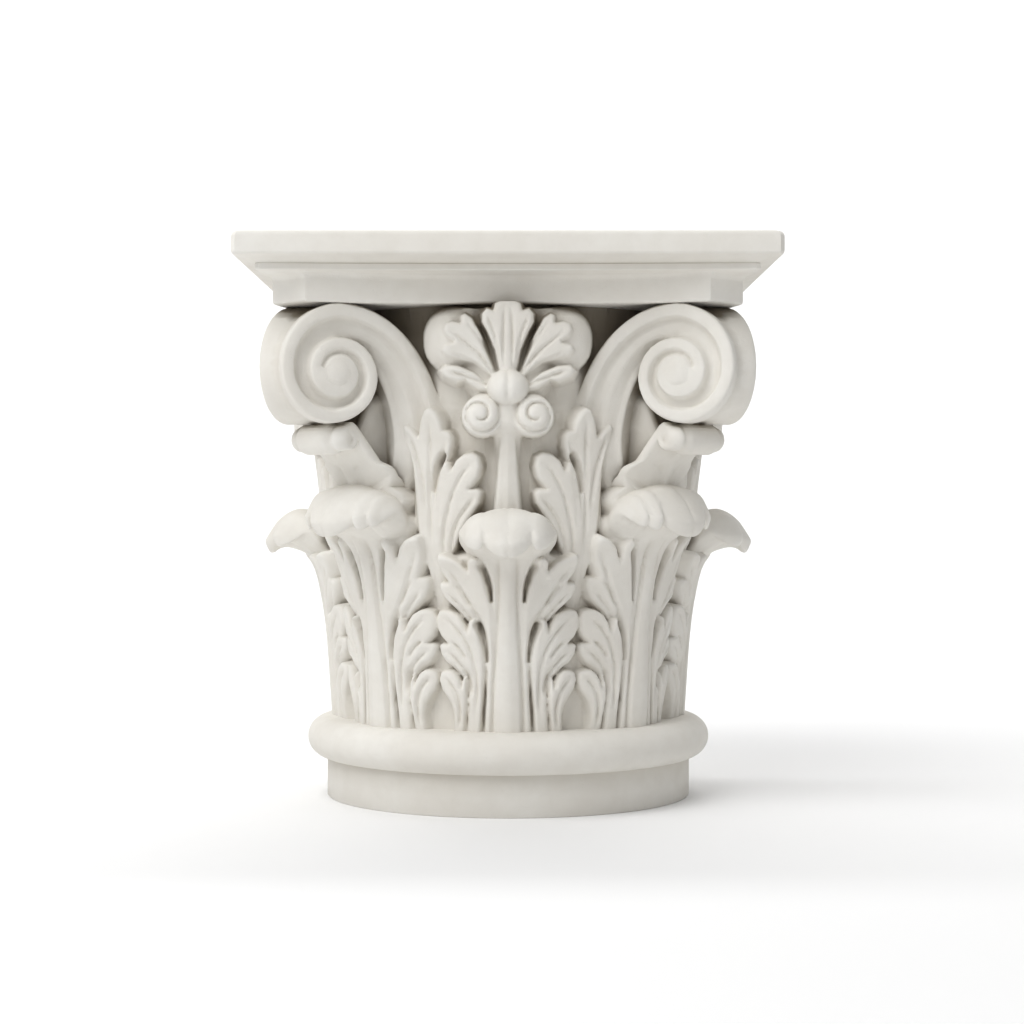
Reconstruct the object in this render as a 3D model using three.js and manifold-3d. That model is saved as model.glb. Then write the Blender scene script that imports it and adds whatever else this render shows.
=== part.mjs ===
// A Corinthian capital, cast in one piece: a round necking with a torus, a bell wrapped in acanthus
// leaves, scrolled volutes under the four corners, a palmette on each face and a square abacus.
// Millimetres, +Z up. The origin is the centre of the underside.
import * as THREE from "three";
import { mergeVertices } from "three/addons/utils/BufferGeometryUtils.js";
import Module from "manifold-3d";

const wasm = await Module();
wasm.setup();

// Necking
const neckingRadius = 140;
const neckingHeight = 30.5;
const torusHeight = 30;
const torusProjection = 15;

// Bell, the core that the leaves stand on
const bellHeight = 303.7;
const bellFootRadius = 128;
const bellWaistRadius = 134;
const bellLipRadius = 138;

// Abacus, from its lowest member up
const fasciaHeight = 15.5;
const fasciaWidth = 333.2;
const fasciaHollow = 18;
const fasciaCornerCut = 25.5;
const cavettoHeight = 6;
const filletHeight = 4.5;
const filletWidth = 350.8;
const bevelHeight = 4;
const slabThickness = 16.8;
const abacusWidth = 380;
const slabEdgeRounding = 4.5;
const slabCornerCut = 3;

// Acanthus leaves
const faceLeafHeight = 159;
const cornerLeafHeight = 176;
const leafCurlReach = 32;
const leafCurlHalfWidth = 33;
const leafRelief = 8;
const leafSpread = THREE.MathUtils.degToRad(22.1);
const upperLeafHeight = 94;
const upperLeafHalfWidth = 29;
const upperLeafTurn = THREE.MathUtils.degToRad(20);
const hornLeafHalfWidth = 40;
const hornLeafThickness = 7;
const hornRollRadius = 11;
const hornRollLength = 60;

// Volutes
const voluteRadius = 49.4;
const voluteShrinkPerTurn = 0.5;
const voluteTurns = 2;
const voluteRimThickness = 27.4;
const voluteOverhang = 15.5;
const voluteBand = 10;
const voluteGrooveDepth = 7;
const stemWidth = 34;

// Flower on each face
const palmetteHalfWidth = 47;
const palmetteHeight = 60;
const palmetteThickness = 9;
const flowerBallRadius = 12.5;
const helixRadius = 14.5;
const cushionHalfWidth = 60;
const stalkHalfWidth = 17;

// Heights and places that follow from the sizes above
const torusRadius = torusHeight / 2;
const torusRingRadius = neckingRadius + torusProjection - torusRadius;
const leafFoot = neckingHeight + torusHeight;
const abacusFoot = leafFoot + bellHeight;
const abacusHeight = fasciaHeight + cavettoHeight + filletHeight + bevelHeight + slabThickness;
const quarter = Math.PI / 2;
const fasciaFaceAtMiddle = fasciaWidth / 2 - fasciaHollow;

// A closed mesh as a solid, turned the right way out.
function solidOf(geometry) {
  const bare = new THREE.BufferGeometry();
  bare.setAttribute("position", geometry.getAttribute("position").clone());
  if (geometry.index) bare.setIndex(geometry.index.clone());
  const merged = mergeVertices(bare, 1e-3);
  const points = merged.attributes.position.array;
  const kept = [];
  for (let i = 0; i < merged.index.count; i += 3) {
    const [a, b, c] = merged.index.array.slice(i, i + 3);
    if (a !== b && b !== c && c !== a) kept.push(a, b, c);
  }
  const triVerts = new Uint32Array(kept);
  if (signedVolume(points, triVerts) < 0) triVerts.reverse();
  return new wasm.Manifold(new wasm.Mesh({ numProp: 3, vertProperties: points, triVerts }));
}

function signedVolume(points, triangles) {
  const corner = [new THREE.Vector3(), new THREE.Vector3(), new THREE.Vector3()];
  let sum = 0;
  for (let i = 0; i < triangles.length; i += 3) {
    corner.forEach((v, k) => v.fromArray(points, 3 * triangles[i + k]));
    sum += corner[0].dot(corner[1].clone().cross(corner[2]));
  }
  return sum / 6;
}

// A closed slab between two surfaces. front and back give a point for across -1..1 and along 0..1.
function slabBetween(front, back, acrossStops, alongStops) {
  const positions = [];
  const columns = acrossStops.length;
  const rows = alongStops.length;
  for (const face of [front, back])
    for (const along of alongStops)
      for (const across of acrossStops) positions.push(...face(across, along).toArray());
  const at = (side, row, column) => (side * rows + row) * columns + column;
  const index = [];
  const quad = (a, b, c, d) => index.push(a, b, c, a, c, d);
  const end = columns - 1;
  const top = rows - 1;
  for (let row = 0; row < top; row++) {
    for (let i = 0; i < end; i++) {
      quad(at(0, row, i), at(0, row, i + 1), at(0, row + 1, i + 1), at(0, row + 1, i));
      quad(at(1, row, i + 1), at(1, row, i), at(1, row + 1, i), at(1, row + 1, i + 1));
    }
    quad(at(1, row, 0), at(0, row, 0), at(0, row + 1, 0), at(1, row + 1, 0));
    quad(at(0, row, end), at(1, row, end), at(1, row + 1, end), at(0, row + 1, end));
  }
  for (let i = 0; i < end; i++) {
    quad(at(1, 0, i), at(1, 0, i + 1), at(0, 0, i + 1), at(0, 0, i));
    quad(at(0, top, i), at(0, top, i + 1), at(1, top, i + 1), at(1, top, i));
  }
  return closedGeometry(positions, index);
}

function closedGeometry(positions, index) {
  const geometry = new THREE.BufferGeometry();
  geometry.setAttribute("position", new THREE.Float32BufferAttribute(positions, 3));
  geometry.setIndex(index);
  return geometry;
}

function evenStops(steps) {
  return Array.from({ length: steps + 1 }, (_, i) => i / steps);
}

function mirroredStops(positive) {
  return [...positive.map((stop) => -stop).reverse(), 0, ...positive];
}

// A point at an angle round the axis, measured from the front face towards +X.
function aroundAxis(angle, radius, height) {
  return new THREE.Vector3(radius * Math.sin(angle), -radius * Math.cos(angle), height);
}

function fourTimes(one) {
  const all = [0, 1, 2, 3].map((k) => one.rotate([0, 0, 90 * k]));
  return all.reduce((sum, solid) => sum.add(solid));
}

function mirrored(solid) {
  return solid.add(solid.mirror([1, 0, 0]));
}

// Necking: a plain drum with a torus on it.
function neckingSolid() {
  const profile = [
    new THREE.Vector2(0, 0),
    new THREE.Vector2(neckingRadius, 0),
    new THREE.Vector2(neckingRadius, neckingHeight + 1),
  ];
  const torusSteps = 5;
  for (let i = 0; i <= torusSteps; i++) {
    const turn = -quarter + (Math.PI * i) / torusSteps;
    const radius = torusRingRadius + torusRadius * Math.cos(turn);
    const height = neckingHeight + torusRadius * (1 + Math.sin(turn));
    if (radius > neckingRadius || turn > 0) profile.push(new THREE.Vector2(radius, height));
  }
  profile.push(new THREE.Vector2(0, leafFoot));
  return solidOf(new THREE.LatheGeometry(profile, 36).rotateX(quarter));
}

// Bell: the core, widening slowly to a lip under the abacus.
function bellRadiusAt(share) {
  const lip = THREE.MathUtils.smoothstep(share, 0.55, 1);
  const waist = THREE.MathUtils.lerp(bellFootRadius, bellWaistRadius, Math.min(1, share / 0.5));
  return waist + (bellLipRadius - bellWaistRadius) * lip;
}

function bellSolid() {
  const overlap = 2;
  const profile = [new THREE.Vector2(0, leafFoot - overlap)];
  for (const share of [0, 0.6, 1])
    profile.push(
      new THREE.Vector2(bellRadiusAt(share), leafFoot + share * bellHeight + (share ? 0 : -overlap)),
    );
  profile.push(new THREE.Vector2(bellLipRadius, abacusFoot + overlap));
  profile.push(new THREE.Vector2(0, abacusFoot + overlap));
  return solidOf(new THREE.LatheGeometry(profile, 20).rotateX(quarter));
}

// Abacus: plan outlines stacked one on another. Each is a square with hollow sides and cut corners.
function planOutline(width, hollow, cornerCut, height) {
  const half = width / 2;
  const reach = half - cornerCut;
  const sideSteps = 4;
  const points = [];
  for (let side = 0; side < 4; side++)
    for (let i = 0; i <= sideSteps; i++) {
      const along = -1 + (2 * i) / sideSteps;
      const depth = half - hollow * (1 - along * along);
      const point = new THREE.Vector3(reach * along, -depth, height);
      points.push(point.applyAxisAngle(new THREE.Vector3(0, 0, 1), side * quarter));
    }
  return points;
}

function abacusSolid() {
  const fasciaTop = abacusFoot + fasciaHeight;
  const cavettoTop = fasciaTop + cavettoHeight;
  const filletTop = cavettoTop + filletHeight;
  const slabFoot = filletTop + bevelHeight;
  const slabTop = abacusFoot + abacusHeight;
  const bevelWidth = filletWidth + 2 * bevelHeight * 2.6;
  const cavettoReach = (filletWidth - fasciaWidth) / 2;
  const edge = slabEdgeRounding;
  const layers = [planOutline(fasciaWidth, fasciaHollow, fasciaCornerCut, abacusFoot)];
  for (const share of [0, 0.6, 1]) {
    const flare = 1 - Math.sqrt(1 - share * share);
    const width = fasciaWidth + 1.3 * cavettoReach * flare;
    const height = fasciaTop + share * cavettoHeight * 0.9;
    layers.push(planOutline(width, fasciaHollow, fasciaCornerCut, height));
  }
  layers.push(planOutline(filletWidth, fasciaHollow / 3, slabCornerCut, cavettoTop));
  layers.push(planOutline(filletWidth, fasciaHollow / 3, slabCornerCut, filletTop));
  layers.push(planOutline(bevelWidth, 0, slabCornerCut, slabFoot));
  layers.push(planOutline(abacusWidth, 0, slabCornerCut, slabFoot + 2));
  layers.push(planOutline(abacusWidth, 0, slabCornerCut, slabTop - edge));
  layers.push(planOutline(abacusWidth - 0.6 * edge, 0, slabCornerCut, slabTop - 0.3 * edge));
  layers.push(planOutline(abacusWidth - 2 * edge, 0, slabCornerCut, slabTop));
  return solidOf(stackedOutlines(layers));
}

function stackedOutlines(layers) {
  const count = layers[0].length;
  const positions = layers.flatMap((layer) => layer.flatMap((p) => p.toArray()));
  const index = [];
  for (let layer = 0; layer < layers.length - 1; layer++)
    for (let i = 0; i < count; i++) {
      const a = layer * count + i;
      const b = layer * count + ((i + 1) % count);
      index.push(a, b, b + count, a, b + count, a + count);
    }
  const last = (layers.length - 1) * count;
  for (const [first, flip] of [
    [0, true],
    [last, false],
  ]) {
    const outline = layers[first / count].map((p) => new THREE.Vector2(p.x, p.y));
    for (const face of THREE.ShapeUtils.triangulateShape(outline, [])) {
      const ordered = flip ? [...face].reverse() : face;
      index.push(...ordered.map((k) => k + first));
    }
  }
  return closedGeometry(positions, index);
}

// The front and back of a leaf along its middle. Each point is a share of the reach outward from the
// foot of the leaf and a share of its height.
const leafFrontLine = new THREE.SplineCurve(
  [
    [0.16, 0],
    [0.21, 0.15],
    [0.26, 0.3],
    [0.33, 0.45],
    [0.44, 0.59],
    [0.58, 0.7],
    [0.76, 0.76],
    [1.0, 0.805],
    [1.24, 0.83],
    [1.45, 0.83],
    [1.62, 0.812],
  ].map(([out, up]) => new THREE.Vector2(out, up)),
);
const leafBackLine = new THREE.SplineCurve(
  [
    [-0.3, 0],
    [-0.3, 0.15],
    [-0.3, 0.3],
    [-0.3, 0.45],
    [-0.29, 0.61],
    [-0.2, 0.77],
    [0.1, 0.9],
    [0.45, 0.975],
    [0.88, 1],
    [1.36, 0.97],
    [1.74, 0.865],
  ].map(([out, up]) => new THREE.Vector2(out, up)),
);
const bodyEnd = 0.585;
const lobesPerSide = 3;
const lobePitch = bodyEnd / lobesPerSide;

// How far round the bell the leaf spreads: three lobes up each side, then a narrower tongue.
function leafTurnAt(along, radius) {
  const inLobe = (along / lobePitch) % 1;
  const lobed = leafSpread * (0.74 + 0.26 * Math.sin(Math.PI * inLobe));
  const over = THREE.MathUtils.smoothstep(along, bodyEnd - 0.5 * lobePitch, bodyEnd + 0.7 * lobePitch);
  const tongue = (leafCurlHalfWidth / radius) * (1 - 0.3 * THREE.MathUtils.smoothstep(along, 0.8, 1));
  return THREE.MathUtils.lerp(lobed, tongue, over);
}

function lowerLeafSolid(angle, height) {
  const footRadius = neckingRadius - leafRelief;
  const reach = leafCurlReach;
  const face = (side) => (across, along) => {
    const edgeShare = Math.abs(across);
    const over = THREE.MathUtils.smoothstep(along, bodyEnd - 0.5 * lobePitch, 1);
    const ribs = Math.cos(3 * Math.PI * edgeShare ** 0.73);
    const inLobe = (along / lobePitch) % 1;
    const place = (side > 0 ? leafFrontLine : leafBackLine).getPoint(along);
    const other = (side > 0 ? leafBackLine : leafFrontLine).getPoint(along);
    place.lerp(other, 0.3 * over * edgeShare ** 2);
    const lobeSwell = 5 * edgeShare * (Math.sin(Math.PI * inLobe) - 0.6);
    const carving = side > 0 ? (1 - over) * (lobeSwell + 2.6 * ribs) : 0;
    const crest = side > 0 ? 0 : 1.6 * over * (ribs - 1);
    const droop = 7 * over * edgeShare ** 2;
    const radius = footRadius + place.x * reach + carving - 1.6 * droop;
    const rise = (1 - over) * 9 * edgeShare ** 1.5 * Math.min(1, 8 * along);
    const level = leafFoot + place.y * height + crest - 1.9 * droop + rise;
    return aroundAxis(angle + across * leafTurnAt(along, radius), radius, Math.max(level, leafFoot - 1));
  };
  const stops = evenStops(2 * lobesPerSide).map((share) => share * bodyEnd);
  stops.push(0.72, 0.87, 1);
  return solidOf(slabBetween(face(1), face(-1), mirroredStops([0.22, 0.6, 1]), stops));
}

// Upper leaf: it stands on the bell behind the lower row and hides the foot of the volute's stem.
function upperLeafSolid() {
  const foot = leafFoot + 0.44 * bellHeight;
  const crown = 9;
  const face = (side) => (across, along) => {
    const edgeShare = Math.abs(across);
    const inLobe = (along * 2.5) % 1;
    const scallop = 0.74 + 0.26 * Math.sin(Math.PI * Math.pow(inLobe, 1.5));
    const taper = 1 - 0.5 * along ** 4;
    const level = foot + upperLeafHeight * along - 9 * edgeShare ** 2 * along;
    const ridge = crown * (1 - 0.6 * edgeShare ** 2) + 3 * along ** 3;
    const bell = bellRadiusAt((level - leafFoot) / bellHeight);
    const radius = bell + (side > 0 ? ridge : -crown);
    const turn = (across * upperLeafHalfWidth * scallop * taper) / bell;
    return aroundAxis(upperLeafTurn + turn, radius, level);
  };
  return solidOf(slabBetween(face(1), face(-1), mirroredStops([0.5, 1]), [0, 0.22, 0.4, 0.6, 0.78, 1]));
}

// A volute's face is an upright plane that runs in from the corner, turned an eighth of a right angle.
const cornerShare = fasciaWidth / 2 - fasciaCornerCut / 2;
const rimDistance = cornerShare * Math.SQRT2 + voluteOverhang;
const rimMiddle = new THREE.Vector2(1, -1).multiplyScalar(rimDistance / Math.SQRT2);
const rimHalf = new THREE.Vector2(-1, -1).multiplyScalar(voluteRimThickness / 2 / Math.SQRT2);
const faceOuter = rimMiddle.clone().add(rimHalf);
const faceTurn = quarter / 4;
const faceRun = new THREE.Vector2(-Math.cos(faceTurn), Math.sin(faceTurn));
const faceInto = new THREE.Vector2(Math.sin(faceTurn), Math.cos(faceTurn));
const eye = new THREE.Vector2(0.815 * voluteRadius, abacusFoot - voluteRadius + 0.4);

// In a face's own plane: in from the rim, and up. depth goes into the stone from the face.
function onVoluteFace(inward, height, depth = 0) {
  const place = faceOuter.clone().addScaledVector(faceRun, inward).addScaledVector(faceInto, depth);
  return new THREE.Vector3(place.x, place.y, height);
}

function spiralRadius(turns) {
  return voluteRadius * Math.pow(voluteShrinkPerTurn, turns);
}

// The spiral starts at the top of the volute and runs outward, down, inward and round to the eye.
function spiralPoint(turns, radius = spiralRadius(turns)) {
  const angle = 2 * Math.PI * turns;
  return new THREE.Vector2(eye.x - radius * Math.sin(angle), eye.y + radius * Math.cos(angle));
}

// The stem leaves the top of the spiral and bends down to the bell. inset moves in from its outer edge.
const stemFoot = leafFoot + 0.52 * bellHeight;
const stemRun = 1.62 * voluteRadius;
const stemDrop = 2.07 * voluteRadius;

function stemPoint(angle, inset) {
  const out = (stemRun - inset) * Math.sin(angle);
  const up = (stemDrop - inset) * Math.cos(angle);
  return new THREE.Vector2(eye.x + out, eye.y + voluteRadius - stemDrop + up);
}

function voluteOutline() {
  const stemSteps = 5;
  const spiralSteps = 10;
  const spiralEnd = 0.79;
  const points = [new THREE.Vector2(eye.x + stemRun, stemFoot)];
  for (let i = 0; i < stemSteps; i++) points.push(stemPoint(quarter * (1 - i / stemSteps), 0));
  for (let i = 0; i <= spiralSteps; i++) points.push(spiralPoint((spiralEnd * i) / spiralSteps));
  const join = points[points.length - 1];
  const start = Math.asin((join.x - eye.x) / (stemRun - stemWidth));
  for (let i = 1; i <= 3; i++) {
    const angle = THREE.MathUtils.lerp(start, quarter, i / 3);
    const point = stemPoint(angle, stemWidth);
    const gap = (join.y - stemPoint(start, stemWidth).y) * (1 - i / 3);
    points.push(new THREE.Vector2(point.x, point.y + gap));
  }
  points.push(new THREE.Vector2(eye.x + stemRun - stemWidth, stemFoot));
  return points;
}

// The two faces of one corner share a block whose rim is hollowed along its middle.
function voluteSolid() {
  const outline = voluteOutline();
  const rimHollow = 3;
  const centre = new THREE.Vector2(eye.x, eye.y);
  const toOtherFace = (p) => new THREE.Vector3(-p.y, -p.x, p.z);
  const near = outline.map((p) => onVoluteFace(p.x, p.y));
  const far = near.map(toOtherFace);
  const middle = near.map((p, i) => {
    const inward = centre.clone().sub(outline[i]).normalize();
    const shift = outline[i].distanceTo(centre) < 1.1 * voluteRadius ? rimHollow : 0;
    const moved = onVoluteFace(outline[i].x + inward.x * shift, outline[i].y + inward.y * shift);
    return moved.clone().add(toOtherFace(moved)).multiplyScalar(0.5);
  });
  const count = outline.length;
  const positions = [near, middle, far].flatMap((row) => row.flatMap((p) => p.toArray()));
  const index = [];
  for (let row = 0; row < 2; row++)
    for (let i = 0; i < count; i++) {
      const a = row * count + i;
      const b = row * count + ((i + 1) % count);
      index.push(a, b, b + count, a, b + count, a + count);
    }
  for (const face of THREE.ShapeUtils.triangulateShape(outline, [])) {
    index.push(...[...face].reverse());
    index.push(...face.map((k) => k + 2 * count));
  }
  const block = solidOf(closedGeometry(positions, index));
  const groove = solidOf(voluteGroove());
  const otherGroove = groove.mirror([1, 1, 0]);
  return block.subtract(groove).subtract(otherGroove);
}

// The sunk channel between the raised bands, from the foot of the stem over the top and round to the eye.
function voluteGroove() {
  const edges = [];
  const bandAt = (radius) => voluteBand * Math.sqrt(radius / voluteRadius);
  const stemSteps = 3;
  for (let i = 0; i < stemSteps; i++) {
    const angle = 1.35 * (1 - i / stemSteps);
    const inner = THREE.MathUtils.lerp(voluteRadius - spiralRadius(1), stemWidth - 8.5, angle / 1.35);
    edges.push([stemPoint(angle, voluteBand), stemPoint(angle, inner)]);
  }
  const spiralSteps = 12;
  for (const share of evenStops(spiralSteps)) {
    const turns = share * (voluteTurns - 1);
    const outer = spiralRadius(turns) - bandAt(spiralRadius(turns));
    const inner = Math.min(spiralRadius(turns + 1), outer - 1);
    edges.push([spiralPoint(turns, outer), spiralPoint(turns, inner)]);
  }
  const positions = [];
  for (const depth of [-2, voluteGrooveDepth])
    for (const pair of edges)
      for (const p of pair) positions.push(...onVoluteFace(p.x, p.y, depth).toArray());
  const layer = 2 * edges.length;
  const index = [];
  const quad = (a, b, c, d) => index.push(a, b, c, a, c, d);
  for (let i = 0; i < edges.length - 1; i++) {
    const a = 2 * i;
    quad(a, a + 1, a + 3, a + 2);
    quad(layer + a, layer + a + 2, layer + a + 3, layer + a + 1);
    quad(a, a + 2, layer + a + 2, layer + a);
    quad(a + 3, a + 1, layer + a + 1, layer + a + 3);
  }
  quad(1, 0, layer, layer + 1);
  const end = layer - 2;
  quad(end, end + 1, layer + end + 1, layer + end);
  return closedGeometry(positions, index);
}

// Horn leaf: on each corner, it rises behind the lower leaf's curl and ends in a roll under the volute.
function hornLeafSolid() {
  const rollDistance = rimDistance - 1.01 * voluteRadius + 5;
  const rollHeight = eye.y - spiralRadius(0.5) - hornRollRadius;
  const foot = leafFoot + 0.46 * bellHeight;
  const middleRadius = hornRollRadius - hornLeafThickness / 2;
  const line = [new THREE.Vector2(bellWaistRadius + 8, foot)];
  line.push(new THREE.Vector2(bellWaistRadius + 14, THREE.MathUtils.lerp(foot, rollHeight, 0.5)));
  const rollSteps = 5;
  for (let i = 0; i <= rollSteps; i++) {
    const angle = THREE.MathUtils.degToRad(140 - (i * 260) / rollSteps);
    const out = rollDistance + middleRadius * Math.cos(angle);
    line.push(new THREE.Vector2(out, rollHeight + middleRadius * Math.sin(angle)));
  }
  const curve = new THREE.SplineCurve(line);
  const face = (side) => (across, along) => {
    const middle = curve.getPoint(along);
    const tangent = curve.getTangent(along);
    const normal = new THREE.Vector2(tangent.y, -tangent.x);
    const narrowing = THREE.MathUtils.smoothstep(along, 0.1, 0.5);
    const half = THREE.MathUtils.lerp(hornLeafHalfWidth, hornRollLength / 2, narrowing);
    const scallop = 1 + 0.16 * Math.sin(along * 22) * (1 - narrowing);
    const ridge = side > 0 ? 1.5 * Math.cos(3 * Math.PI * across) * (1 - along) : 0;
    const offset = (side * hornLeafThickness) / 2 + ridge - (side < 0 ? 8 * (1 - narrowing) : 0);
    const radius = middle.x + normal.x * offset;
    const level = middle.y + normal.y * offset - 2 * across ** 2;
    const place = new THREE.Vector2(1, -1).multiplyScalar(radius / Math.SQRT2);
    place.addScaledVector(new THREE.Vector2(1, 1), (across * half * scallop) / Math.SQRT2);
    return new THREE.Vector3(place.x, place.y, level);
  };
  const stops = [0, 0.2, 0.42, 0.56, 0.67, 0.78, 0.89, 1];
  return solidOf(slabBetween(face(1), face(-1), [-1, 0, 1], stops));
}

// The flower in the middle of each face stands before a cushion, over two curled helices and a stalk.
const flowerFront = fasciaFaceAtMiddle + 13;
const ballHeight = abacusFoot - palmetteHeight;

function cushionSolid() {
  const top = abacusFoot - 4;
  const foot = ballHeight - 30;
  const face = (side) => (across, along) => {
    const roundTop = Math.sqrt(Math.max(0, 1 - (Math.max(0, along - 0.66) / 0.36) ** 2));
    const grown = THREE.MathUtils.smoothstep(along, 0, 0.66);
    const half = THREE.MathUtils.lerp(24, cushionHalfWidth, grown) * Math.max(0.35, roundTop);
    const swell = Math.sqrt(1 - 0.9 * across ** 2);
    const depth = THREE.MathUtils.lerp(4, flowerFront - 6 - bellWaistRadius, grown) * swell;
    const front = bellWaistRadius + 2 + depth * (0.55 + 0.45 * roundTop);
    const level = THREE.MathUtils.lerp(foot, top, along);
    return new THREE.Vector3(across * half, side > 0 ? -front : -(bellWaistRadius - 26), level);
  };
  return solidOf(slabBetween(face(1), face(-1), mirroredStops([0.55, 1]), [0, 0.66, 0.87, 1]));
}

function palmetteSolid() {
  const lobes = 5;
  const spread = THREE.MathUtils.degToRad(84);
  const stops = [];
  for (let lobe = 0; lobe < lobes; lobe++)
    for (const share of [0, 0.25, 0.75]) stops.push(-1 + (2 * (lobe + share)) / lobes);
  stops.push(1);
  const face = (side) => (across, along) => {
    const angle = across * spread;
    const lobe = 2 * Math.abs(Math.cos((lobes * Math.PI * across) / 2)) - 1;
    const reach = THREE.MathUtils.lerp(palmetteHeight + 1, palmetteHalfWidth, Math.abs(across) ** 1.2);
    const out = 5 + (reach - 5) * along * (1 - 0.1 * (1 - lobe) * along);
    const swell = 1.8 * lobe * along - 4 * Math.sin(Math.PI * along);
    const front = flowerFront + 3 * along ** 2 - 16 * across ** 2 + swell;
    const depth = side > 0 ? front : front - palmetteThickness - 12 * (1 - along);
    return new THREE.Vector3(out * Math.sin(angle), -depth, ballHeight + out * Math.cos(angle));
  };
  return solidOf(slabBetween(face(1), face(-1), stops, [0, 0.6, 1]));
}

function flowerBallSolid() {
  const ball = new THREE.SphereGeometry(flowerBallRadius, 8, 5);
  return solidOf(ball.translate(0, -(flowerFront - 2), ballHeight));
}

// A helix is a short curled roll that turns its spiral end out.
function helixSolid() {
  const r = helixRadius;
  const profile = [
    [0, -1.4 * r],
    [0.8 * r, -1.4 * r],
    [r, 0],
    [0.6 * r, 0.4 * r],
    [0.4 * r, 0.15 * r],
    [0, 0.4 * r],
  ].map(([out, up]) => new THREE.Vector2(out, up));
  const roll = new THREE.LatheGeometry(profile, 8);
  roll.rotateX(2 * quarter).rotateZ(0.45);
  return solidOf(roll.translate(1.17 * r, -(flowerFront - 0.8 * r), ballHeight - 1.31 * r));
}

function stalkSolid() {
  const top = ballHeight - 10;
  const foot = leafFoot + 0.48 * bellHeight;
  const face = (side) => (across, along) => {
    const half = stalkHalfWidth * (1 - 0.58 * Math.sqrt(along));
    const swell = 8 * (1 - across * across);
    const front = THREE.MathUtils.lerp(bellWaistRadius + 6, flowerFront - 16, along) + swell;
    const level = THREE.MathUtils.lerp(foot, top, along);
    return new THREE.Vector3(across * half, side > 0 ? -front : -(bellWaistRadius - 20), level);
  };
  return solidOf(slabBetween(face(1), face(-1), [-1, 0, 1], evenStops(2)));
}

function capitalSolid() {
  const eighth = quarter / 2;
  const onFace = [lowerLeafSolid(0, faceLeafHeight), cushionSolid(), palmetteSolid(), flowerBallSolid()];
  const onCorner = [lowerLeafSolid(eighth, cornerLeafHeight), voluteSolid(), hornLeafSolid()];
  const pairs = [upperLeafSolid(), helixSolid()].map(mirrored);
  const quarterPieces = [...onFace, stalkSolid(), ...onCorner, ...pairs];
  const carving = fourTimes(quarterPieces.reduce((sum, solid) => sum.add(solid)));
  return withoutPockets(neckingSolid().add(bellSolid()).add(abacusSolid()).add(carving)).simplify(0.25);
}

// A casting is solid inside, so the small closed pockets behind the carving are filled.
function withoutPockets(solid) {
  return wasm.Manifold.compose(solid.decompose().filter((shell) => shell.volume() > 0));
}

function geometryOf(solid) {
  const mesh = solid.getMesh();
  const points = new Float32Array(mesh.numVert * 3);
  for (let i = 0; i < mesh.numVert; i++)
    points.set(mesh.vertProperties.subarray(i * mesh.numProp, i * mesh.numProp + 3), i * 3);
  const geometry = new THREE.BufferGeometry();
  geometry.setAttribute("position", new THREE.BufferAttribute(points, 3));
  geometry.setIndex(new THREE.BufferAttribute(mesh.triVerts, 1));
  geometry.computeVertexNormals();
  return geometry;
}

const plaster = new THREE.MeshStandardMaterial({ color: 0xe4e1da, roughness: 0.82, metalness: 0 });
const capital = new THREE.Mesh(geometryOf(capitalSolid()), plaster);
capital.name = "corinthian_capital";

const part = new THREE.Group();
part.add(capital);

export default part;
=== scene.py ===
import math
import bmesh
import bpy
import numpy as np
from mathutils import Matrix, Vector
from mathutils.bvhtree import BVHTree


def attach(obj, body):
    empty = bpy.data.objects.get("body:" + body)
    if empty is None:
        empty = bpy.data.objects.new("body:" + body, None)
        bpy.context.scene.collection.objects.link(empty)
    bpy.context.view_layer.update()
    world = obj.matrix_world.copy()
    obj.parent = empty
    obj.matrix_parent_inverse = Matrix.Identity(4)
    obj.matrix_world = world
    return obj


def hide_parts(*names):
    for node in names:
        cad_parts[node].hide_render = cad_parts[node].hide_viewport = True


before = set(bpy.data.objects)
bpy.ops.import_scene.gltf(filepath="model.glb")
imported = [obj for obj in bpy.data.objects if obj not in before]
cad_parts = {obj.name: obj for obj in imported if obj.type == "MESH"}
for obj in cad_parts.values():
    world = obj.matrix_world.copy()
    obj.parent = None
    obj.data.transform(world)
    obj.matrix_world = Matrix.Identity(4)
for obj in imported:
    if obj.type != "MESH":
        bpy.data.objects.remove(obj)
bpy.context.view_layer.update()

# Sizes in millimetres. The carving is worked out for one eighth of the capital, from the middle of
# the front face to its right corner, and then mirrored and turned. d is the way out of the face,
# towards -Y.
neck = {"radius": 140.0, "height": 30.5, "torus": 30.0, "torusOut": 15.0}
bell = {"foot": 60.5, "top": 364.2, "footRadius": 128.0, "waistRadius": 134.0, "lipRadius": 138.0}
abacus = {
    "foot": 364.2,
    "fascia": 15.5,
    "fasciaWidth": 333.2,
    "hollow": 18.0,
    "cornerCut": 25.5,
    "cavetto": 6.0,
    "fillet": 4.5,
    "filletWidth": 350.8,
    "bevel": 4.0,
    "slab": 16.8,
    "width": 380.0,
    "edge": 4.5,
    "slabCut": 3.0,
}
volute = {
    "radius": 49.4,
    "shrink": 0.5,
    "turns": 2.2,
    "rim": 27.4,
    "overhang": 15.5,
    "band": 10.0,
    "depth": 7.0,
    "stemWidth": 34.0,
    "button": 9.0,
}
leafCurl = {"reach": 32.0, "halfWidth": 33.0, "faceHeight": 159.0, "cornerHeight": 176.0}
horn = {"halfWidth": 40.0, "thickness": 7.0, "rollRadius": 11.0, "rollHalf": 30.0}


def smoothstep(t, low, high):
    s = np.clip((t - low) / (high - low), 0.0, 1.0)
    return s * s * (3.0 - 2.0 * s)


def lerp(a, b, t):
    return a + (b - a) * t


def smoothMax(a, b, blend):
    h = np.clip(0.5 + 0.5 * (a - b) / blend, 0.0, 1.0)
    return lerp(b, a, h) + blend * h * (1.0 - h)


def smoothMin(a, b, blend):
    return -smoothMax(-a, -b, blend)


# A soft ridge, 1 on its line and fading over its width.
def ridge(distance, width):
    return np.exp(-((distance / width) ** 2))


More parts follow.
